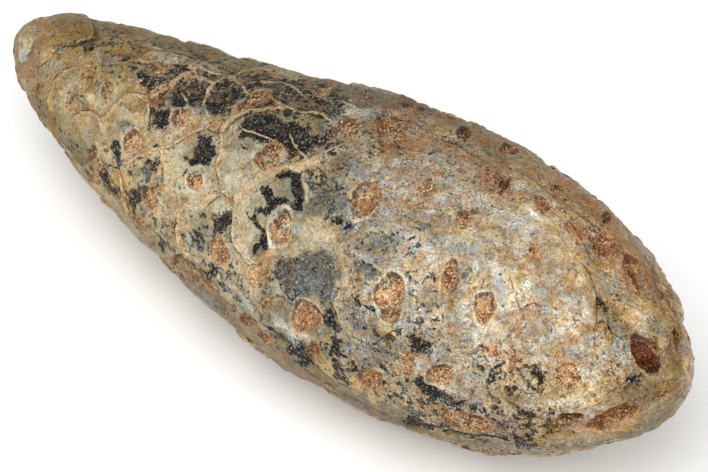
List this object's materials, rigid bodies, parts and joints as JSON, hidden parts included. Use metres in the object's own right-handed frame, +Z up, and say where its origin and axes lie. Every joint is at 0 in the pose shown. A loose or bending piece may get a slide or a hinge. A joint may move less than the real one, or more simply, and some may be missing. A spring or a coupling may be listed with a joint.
{
  "type": "fossil cycad seed cone",
  "caption": "Silicified seed cone lying on its side: a tapered club with overlapping scales, each with a small pit, and a ledged blunt end.",
  "frame": {"origin": "on the resting surface, under the middle of the cone's bounding box", "axes": "+X along the cone towards its blunt stalk end, -X towards its small end, +Z up, -Y towards the side that the picture shows"},
  "size_m": [0.1123, 0.0409, 0.0367],
  "materials": {
    "silicified_cone": "matte to slightly waxy silicified plant tissue, cream to olive tan with charcoal patches, tan seams, rusty granular pits and a blue-grey weathered zone on the blunt half"
  },
  "bodies": {
    "root": {"seed_cone": "silicified_cone"}
  },
  "joints": []
}
